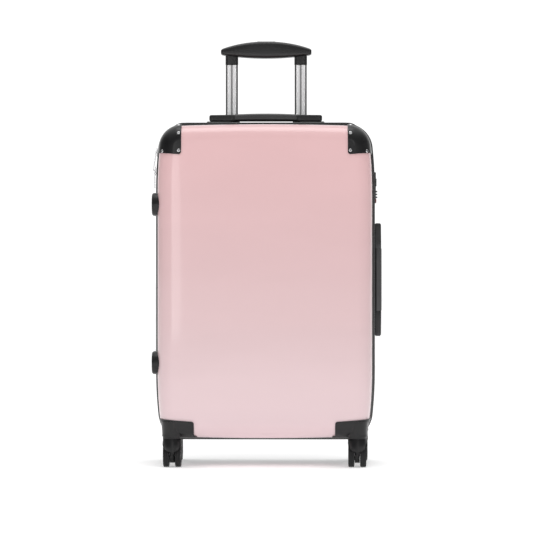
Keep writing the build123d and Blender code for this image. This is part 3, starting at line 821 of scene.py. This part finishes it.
def wheel(name, side):
    """Tyre with two tread grooves, hub and five spokes; side a is the left wheel of the pair."""
    low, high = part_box(f"wheel_{name}_{side}")
    centre = tuple((low + high) / 2)
    half, radius = (high.x - low.x) / 2, (high.z - low.z) / 2
    section = [(0.0191, -half + 0.0006), (0.0205, -half + 0.0001), (0.0222, -half)]
    soft = 0.0024
    for a in np.radians(np.linspace(-90, 0, 7)):
        section.append((radius - soft + soft * math.cos(a), -half + soft + soft * math.sin(a)))
    for place in (-0.0016, 0.0016):
        groove = ((0.0, -0.0006), (0.0005, -0.0004), (0.0005, 0.0004), (0.0, 0.0006))
        section += [(radius - deep, place + off) for deep, off in groove]
    mirrored = [(r, -h) for r, h in section[:10][::-1]]
    tyre = lathe(f"tyre_{name}_{side}", section + mirrored, "X", centre, MATS["tyre"], 72)
    show(tyre, f"wheel_{name}_{side}", "tyre", f"wheel_{name}_{side}")
    out = -1 if side == "a" else 1
    face = half - 0.0005
    profile = [(0.00305, -face), (0.0062, -face), (0.0068, -face + 0.0008), (0.0185, -face + 0.0008)]
    profile += [(0.0191, -face + 0.0002), (0.0191, face), (0.0172, face), (0.0166, face - 0.0004)]
    profile += [(0.0156, face - 0.0024), (0.0074, face - 0.0028), (0.0068, face - 0.0024)]
    profile += [(0.0065, face - 0.0006), (0.0060, face - 0.0002), (0.00305, face - 0.0002)]
    hub = lathe(f"hub_{name}_{side}", [(r, out * h) for r, h in profile], "X", centre, MATS["hub"], 60)
    spokes = Builder()
    for i in range(5):
        turn = Matrix.Rotation(2 * math.pi * i / 5 + 0.3, 3, "X")
        ring_a, ring_b = [], []
        for y, w in ((0.0062, 0.0021), (0.0170, 0.0014)):
            for sign in (-1, 1):
                ring_a.append((y, sign * w))
        order = (0, 1, 3, 2)
        for h, shrink in ((face - 0.0034, 1.0), (face - 0.0010, 1.0), (face - 0.0006, 0.72)):
            local = [Vector((out * h, ring_a[k][0], ring_a[k][1] * shrink)) for k in order]
            ring_b.append(spokes.ring([tuple(turn @ p + Vector(centre)) for p in local]))
        spokes.solid(ring_b)
    arms = spokes.made(f"spokes_{name}_{side}", MATS["hub"], 30)
    show(hub, f"wheel_{name}_{side}", "black_plastic")
    show(arms, f"wheel_{name}_{side}", "black_plastic")


for name in FRONT + BACK:
    fork = bpy.data.objects.new(f"fork_{name}_moulded", fork_mesh)
    bpy.context.scene.collection.objects.link(fork)
    fork.location = (KING[name].x, KING[name].y, 0)
    show(fork, f"caster_{name}", "black_plastic", f"fork_{name}")
    for side in ("a", "b"):
        wheel(name, side)

# ---------------- carry handles


def smooth(t):
    t = min(1.0, max(0.0, t))
    return t * t * (3 - 2 * t)


def quarter_round(t):
    """Falls from 1 at t = 0 along a quarter circle to 0 at t = 1."""
    t = max(0.0, t)
    return math.sqrt(max(0.0, 1 - t * t))


def section(half_w, low, high, power, tilt=0.0, steps=36):
    """Rounded section (w, h); tilt narrows the top."""
    points = []
    for i in range(steps):
        a = 2 * math.pi * i / steps
        c, s = math.cos(a), math.sin(a)
        w = half_w * math.copysign(abs(c) ** (2 / power), c)
        h = math.copysign(abs(s) ** (2 / power), s)
        w *= 1 - tilt * (h + 1) / 2
        points.append((w, (low + high) / 2 + h * (high - low) / 2))
    return points


def handle_place(which):
    """Local (u, w, h) to the model's frame: along the handle, across it, away from the case."""
    base_low, base_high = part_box(f"{which}_bases")
    middle = (base_low + base_high) / 2
    if which == "top_handle":
        return lambda u, w, h: (u, middle.y + w, base_high.z + h)
    return lambda u, w, h: (base_high.x + h, middle.y + w, middle.z - u)


ARM_HALF, PAD_HALF = 0.1084, 0.0600


def arm_section(u):
    """Section of a carry handle's arm: low and wide, with rounded ends."""
    a = abs(u)
    into = smooth((a - 0.056) / 0.010)
    low = 0.0003
    high = 0.0132 - 0.0004 * smooth((a - 0.060) / 0.047)
    half_w = 0.0100 + 0.0019 * into
    power = 4.0 + 4.5 * into
    shrink = 1 - 0.0030 * (1 - quarter_round((a - 0.1040) / 0.0044)) / 0.0058
    middle = (low + high) / 2
    base, top = middle - (middle - low) * shrink, middle + (high - middle) * shrink
    return section(half_w * (1 - (1 - shrink) * 0.6), base, top, power, 0.08)


def pad_section(u, crown):
    """Section of the soft pad: widest low down, with a slight waist above."""
    a = abs(u) / PAD_HALF
    rise = 1 - a * a
    lip = quarter_round((abs(u) - 0.0572) / 0.0028)
    low = 0.0008 + 0.0010 * (1 - lip)
    high = 0.0140 + crown * rise - 0.0008 * (1 - lip)
    points = section(0.0116 + 0.0009 * rise - 0.0008 * (1 - lip), low, high, 4.5, 0.0, 60)
    belly = []
    for w, h in points:
        t = (h - low) / (high - low)
        belly.append((w * np.interp(t, (0.0, 0.22, 0.66, 0.70, 1.0), (0.82, 1.0, 0.86, 0.90, 0.84)), h))
    return belly


def loft(name, place, places, shape, material, angle=35.0):
    """Solid through the sections shape(u) at the places u, set in the model by place."""
    made = Builder()
    made.solid([made.ring([place(u, w, h) for w, h in shape(u)]) for u in places])
    return made.made(name, material, angle)


def stations(ends, straight, count):
    """Places along a bar: close together at its rounded ends, even between them."""
    return [-v for v in ends] + list(np.linspace(-straight, straight, count)) + ends[::-1]


arm_places = stations([ARM_HALF, 0.1081, 0.1073, 0.1059, 0.1040], 0.100, 61)
pad_places = stations([PAD_HALF, 0.0598, 0.0592, 0.0584, 0.0572], 0.055, 45)
for which, crown in (("top_handle", 0.0016), ("side_handle", 0.0001)):
    place = handle_place(which)
    arm = loft(f"{which}_arm", place, arm_places, arm_section, MATS["arm"], 40)
    show(arm, which, "soft_grip", f"{which}_grip")
    pad = loft(f"{which}_pad", place, pad_places, lambda u: pad_section(u, crown), MATS["soft_grip"], 40)
    show(pad, which, "soft_grip")

# ---------------- trolley grip

grip_low, grip_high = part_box("trolley_grip")
GRIP_HALF = grip_high.x
grip_y = (grip_low.y + grip_high.y) / 2
legs_low = grip_low.z
TUBE_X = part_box("trolley_inner_tubes")[1].x - 0.0118
GRIP_TOP, GRIP_BOTTOM = 0.815, 0.7816


def grip_section(x):
    """Section of the trolley grip: its top falls towards the ends, its underside rises."""
    a = abs(x) / GRIP_HALF
    top = GRIP_TOP - 0.015 * a**2.15
    bottom = GRIP_BOTTOM + 0.0068 * a**2
    shrink = 1 - 0.36 * (1 - quarter_round((abs(x) - GRIP_HALF + 0.006) / 0.006))
    middle = (top + bottom) / 2
    low, high = middle + (bottom - middle) * shrink, middle + (top - middle) * shrink
    return section(0.0125 * (0.72 + 0.28 * shrink), low, high, 3.6, 0.10)


outer_ends = [GRIP_HALF - v for v in (0.0, 0.0002, 0.0008, 0.0018, 0.0034, 0.0060)]
places = stations(outer_ends, GRIP_HALF - 0.010, 57)
grip = loft("trolley_grip_bar", lambda u, w, h: (u, grip_y + w, h), places, grip_section, MATS["grip"], 40)
for sign in (-1, 1):
    levels = [(0.0006, legs_low), (0.0, legs_low + 0.0006), (0.0, 0.788)]
    leg = pill("leg", "Z", (sign * TUBE_X, grip_y, 0), 0.0248, 0.0138, 0.0057, levels, MATS["grip"])
    cut(grip, [leg], "UNION", 40)
# Room in the grip for the button's bar, the button and its spring, then for each tube and pull rod.
holes = [
    block("h", (-0.072, grip_y - 0.0043, 0.7897), (0.072, grip_y + 0.0043, 0.8003)),
    block("h", (-0.0183, grip_y - 0.0053, 0.7957), (0.0183, grip_y + 0.0053, 0.83)),
    rod("h", "Z", 0.0032, 0.7852, 0.795, (0, grip_y, 0), 32)
]
for sign in (-1, 1):
    levels = [(0.0, 0.6), (0.0, 0.7889)]
    holes.append(pill("h", "Z", (sign * TUBE_X, grip_y, 0), 0.0236, 0.012, 0.00504, levels, MATS["grip"]))
    holes.append(rod("h", "Z", 0.0018, 0.76, 0.795, (sign * TUBE_X, grip_y, 0), 24))
cut(grip, holes, "DIFFERENCE", 40)
show(grip, "trolley_top", "grip", "trolley_grip")

# ---------------- side feet

for side, half_name in ((-1, "front"), (1, "back")):
    feet_low, feet_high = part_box(f"side_feet_{half_name}")
    middle_y = (feet_low.y + feet_high.y) / 2
    out_x = feet_low.x
    feet = []
    for z in (feet_low.z + 0.0215, feet_high.z - 0.0215):
        levels = [(0.0, 0.0150), (0.0, 0.0040), (0.0004, 0.0022), (0.0014, 0.0008), (0.0030, 0.0001)]
        levels.append((0.0045, 0.0))
        for inset in (0.0070, 0.0115, 0.0160):
            levels += [(inset, 0.0), (inset + 0.0005, 0.0007), (inset + 0.0017, 0.0007)]
            levels.append((inset + 0.0022, 0.0))
        levels = [(inset, out_x + depth) for inset, depth in levels]
        long = feet_high.y - feet_low.y
        feet.append(pill("foot", "X", (0, middle_y, z), long, 0.043, 0.0214, levels, MATS["black_plastic"]))
    foot = joined(feet)
    foot.name = f"side_feet_{half_name}_ribbed"
    cut(foot, [case_solid(side)])
    show(foot, f"{half_name}_case", "black_plastic", f"side_feet_{half_name}")

# ---------------- hinge strip

strip_low, strip_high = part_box("hinge_fabric")
line = [(-0.1999, 0.0100), (-0.1999, 0.0075), (-0.1999, 0.0045), (-0.1998, 0.0022), (-0.1990, 0.0012)]
line += [(-0.1970, 0.0011), (-0.1945, 0.0010), (-0.1915, 0.0010), (-0.1897, 0.0008), (-0.1890, 0.0)]
line += [(x, -y) for x, y in line[::-1][1:]]
path_points = [Vector(p) for p in line]
strip = Builder()
rings = []
for z in np.linspace(strip_low.z + 0.0005, strip_high.z - 0.0005, 60):
    ripple = 0.00012 * math.sin(z * 310) + 0.0001 * math.sin(z * 173 + 1)
    outer, inner = [], []
    for i, p in enumerate(path_points):
        ahead = path_points[min(i + 1, len(line) - 1)] - path_points[max(i - 1, 0)]
        across = Vector((-ahead.y, ahead.x)).normalized() * 0.0002
        outer.append((p.x + across.x + ripple, p.y + across.y, z))
        inner.append((p.x - across.x + ripple, p.y - across.y, z))
    rings.append(strip.ring(outer + inner[::-1]))
strip.solid(rings)
hinge = strip.made("hinge_strip", MATS["lining"], 60)
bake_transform(hinge)
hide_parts("hinge_fabric")

# ---------------- packing straps

STRAP_WIDE, STRAP_START, STRAP_END = 0.030, 0.030, 0.2694
strap_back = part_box("packing_straps")[1].y


def packing_strap(name, sx, sz):
    """Flat webbing on the compartment floor, from the buckle out towards one corner."""
    along = Vector((sx * 0.6, 0, sz * 0.8))
    across = Vector((-along.z, 0, along.x))
    profile = [(-0.0150, 0.0003), (-0.0150, 0.0013), (-0.0146, 0.0016), (-0.0134, 0.0016), (-0.0130, 0.0013)]
    profile += [(-w, lift) for w, lift in profile[::-1]]
    made = Builder()
    rings = []
    for reach in np.linspace(STRAP_START, STRAP_END, 50):
        sag = 0.00008 * math.sin(reach * 130 + sx + 2 * sz)
        ring = []
        for w, lift in profile:
            p = Vector((0, strap_back - lift + 0.0002 + sag, MID)) + along * reach + across * w
            ring.append(tuple(p))
        rings.append(made.ring(ring))
    made.solid(rings)
    strap = made.made(name, MATS["webbing"], 30)
    return strap


towards = ((-1, -1), (-1, 1), (1, -1), (1, 1))
straps = [packing_strap(f"packing_strap_{n}", sx, sz) for n, (sx, sz) in enumerate(towards, 1)]
show(straps[0], "back_case", "webbing", "packing_straps")
for strap in straps[1:]:
    show(strap, "back_case", "webbing")

# ---------------- lock details


def text_mesh(text, size, thick):
    """Mesh of a few characters, standing up out of their plane by thick."""
    curve = bpy.data.curves.new("digits", "FONT")
    curve.body = text
    curve.size = size
    curve.align_x = "CENTER"
    curve.align_y = "CENTER"
    curve.extrude = thick
    made = bpy.data.objects.new("digits", curve)
    bpy.context.scene.collection.objects.link(made)
    bpy.context.view_layer.update()
    mesh = bpy.data.meshes.new_from_object(made.evaluated_get(bpy.context.evaluated_depsgraph_get()))
    bpy.data.objects.remove(made)
    return mesh


digit_meshes = [text_mesh(str(i), 0.0026, 0.00006) for i in range(10)]
for index in (1, 2, 3):
    axis_at = Vector(JOINTS[f"lock_dial_{index}_turn"]["pos_m"])
    shape = bmesh.new()
    for i, mesh in enumerate(digit_meshes):
        turn = Matrix.Rotation(math.radians(36 * i + 18), 4, "Z")
        face_out = Matrix(((0, 0, 1, 0), (1, 0, 0, 0), (0, 1, 0, 0), (0, 0, 0, 1)))
        place = Matrix.Translation(axis_at) @ turn @ Matrix.Translation((0.00897, 0, 0)) @ face_out
        piece = mesh.copy()
        piece.transform(place)
        shape.from_mesh(piece)
    numbers = bpy.data.meshes.new(f"dial_numbers_{index}")
    shape.to_mesh(numbers)
    shape.free()
    made = finished(f"dial_numbers_{index}", numbers, INK, 30, False)
    show(made, f"lock_dial_{index}", "dial")


def weld_bevel(name, width):
    """Softens the edges of a CAD node where its shape is already right."""
    cad = frame["nodes"][name]
    weld = cad.modifiers.new("weld", "WELD")
    weld.merge_threshold = 0.000002
    edge_round(cad, width)


BEVELS = {"lock_body": 0.0004, "lock_release": 0.0003, "trolley_collars": 0.0005, "trolley_bezel": 0.0004}
BEVELS |= {f"zip_{kind}_{place}": 0.0003 for kind in ("slider", "pull") for place in ("upper", "lower")}
BEVELS |= {"wheel_housings_front": 0.0006, "wheel_housings_back": 0.0006, "strap_buckle": 0.0006}
for name, width in BEVELS.items():
    weld_bevel(name, width)

# ---------------- stage, camera


def plane(name, size, z):
    mesh = bpy.data.meshes.new(name)
    corners = [(-size, -size, z), (size, -size, z), (size, size, z), (-size, size, z)]
    mesh.from_pydata(corners, [], [(0, 1, 2, 3)])
    made = bpy.data.objects.new(name, mesh)
    bpy.context.scene.collection.objects.link(made)
    return made


# The floor glows, a painted light that keeps it white; the glow is weaker near the case, a painted shade round it,
# and a little stronger away from it, so that it meets the backdrop without a line.
FLOOR_GLOW_NEAR, FLOOR_GLOW_FAR = 0.32, 0.39
floor = plane("floor", 60.0, 0.0)
mat, nodes, links, shader = tree_of("floor_white")
cloud = noise(nodes, links, object_coords(nodes), 0.4, 2.0)
tone = ramp(nodes, links, cloud.outputs["Fac"], [(0.3, (0.93, 0.93, 0.93)), (0.7, (0.95, 0.95, 0.95))])
links.new(tone.outputs["Color"], shader.inputs["Base Color"])
shader.inputs["Roughness"].default_value = 0.8
shader.inputs["Specular IOR Level"].default_value = 0.1
shader.inputs["Emission Color"].default_value = (1, 1, 1, 1)
distance = nodes.new("ShaderNodeVectorMath")
distance.operation = "LENGTH"
links.new(object_coords(nodes), distance.inputs[0])
# Painted light on the floor: its glow rises with distance from the case, so the floor round the case is painted
# darker.
glow = nodes.new("ShaderNodeMapRange")
limits = {"From Min": 0.5, "From Max": 2.2, "To Min": FLOOR_GLOW_NEAR, "To Max": FLOOR_GLOW_FAR}
for socket, number in limits.items():
    glow.inputs[socket].default_value = number
links.new(distance.outputs["Value"], glow.inputs["Value"])
links.new(glow.outputs["Result"], shader.inputs["Emission Strength"])
floor.data.materials.append(mat)

# The studio's own light: strong from behind, weak from the front and the sides. The camera sees plain white.
WORLD_FRONT, WORLD_BACK, WORLD_SIDE = 0.24, 1.0, 0.2
world = bpy.data.worlds.new("studio")
bpy.context.scene.world = world
world.use_nodes = True
nodes, links = world.node_tree.nodes, world.node_tree.links
back = nodes["Background"]
back.inputs["Color"].default_value = (1, 1, 1, 1)
direction = nodes.new("ShaderNodeSeparateXYZ")
links.new(nodes.new("ShaderNodeTexCoord").outputs["Generated"], direction.inputs["Vector"])
sideways = maths(nodes, links, "ABSOLUTE", direction.outputs["X"])


def graded(value, start, end, low, high):
    made = nodes.new("ShaderNodeMapRange")
    made.interpolation_type = "SMOOTHSTEP"
    for socket, number in (("From Min", start), ("From Max", end), ("To Min", low), ("To Max", high)):
        made.inputs[socket].default_value = number
    links.new(value, made.inputs["Value"])
    return made.outputs["Result"]


by_side = graded(sideways, 0.45, 0.92, 1.0, WORLD_SIDE)
by_depth = graded(direction.outputs["Y"], -0.95, 0.1, WORLD_FRONT, WORLD_BACK)
path = nodes.new("ShaderNodeLightPath")
seen = nodes.new("ShaderNodeMix")
links.new(path.outputs["Is Camera Ray"], seen.inputs[0])
links.new(maths(nodes, links, "MULTIPLY", by_side, by_depth), seen.inputs[2])
seen.inputs[3].default_value = 1.1
links.new(seen.outputs[0], back.inputs["Strength"])


def softbox(name, place, target, width, height, power):
    data = bpy.data.lights.new(name, "AREA")
    data.shape = "RECTANGLE"
    data.size, data.size_y = width, height
    data.energy = power
    lamp = bpy.data.objects.new(name, data)
    lamp.location = place
    aim = Vector(target) - Vector(place)
    lamp.rotation_mode = "QUATERNION"
    lamp.rotation_quaternion = aim.to_track_quat("-Z", "Y")
    bpy.context.scene.collection.objects.link(lamp)
    return lamp


softbox("key_left", (-0.80, -3.9, 0.80), (-0.1, 0, 0.5), 0.50, 1.3, 5)
softbox("fill_right", (0.75, -3.9, 1.35), (0.1, 0, 0.5), 0.28, 0.8, 3)
softbox("front_top", (0.3, -3.2, 3.4), (0, 0, 0.3), 2.6, 1.8, 62).visible_glossy = False
softbox("top", (0, -0.2, 3.2), (0, 0, 0.3), 1.8, 1.8, 20)

# The image centre is the point (AIM_X, front face, EYE_Z); the lens sees SEEN metres at that distance.
DISTANCE, SEEN = 5.5, 0.9962
TURN = math.radians(0.85)
AIM_X, EYE_Z = 0.00383, 0.3771
front_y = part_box("front_shell")[0].y
camera = bpy.data.objects.new("camera", bpy.data.cameras.new("camera"))
camera.data.sensor_width = 36.0
camera.data.lens = 36.0 * DISTANCE / SEEN
camera.data.clip_end = 200.0
camera.location = (AIM_X + DISTANCE * math.sin(TURN), front_y - DISTANCE * math.cos(TURN), EYE_Z)
camera.rotation_euler = (math.radians(90), 0, TURN)
bpy.context.scene.collection.objects.link(camera)
bpy.context.scene.camera = camera
bpy.context.scene.view_settings.view_transform = "Standard"
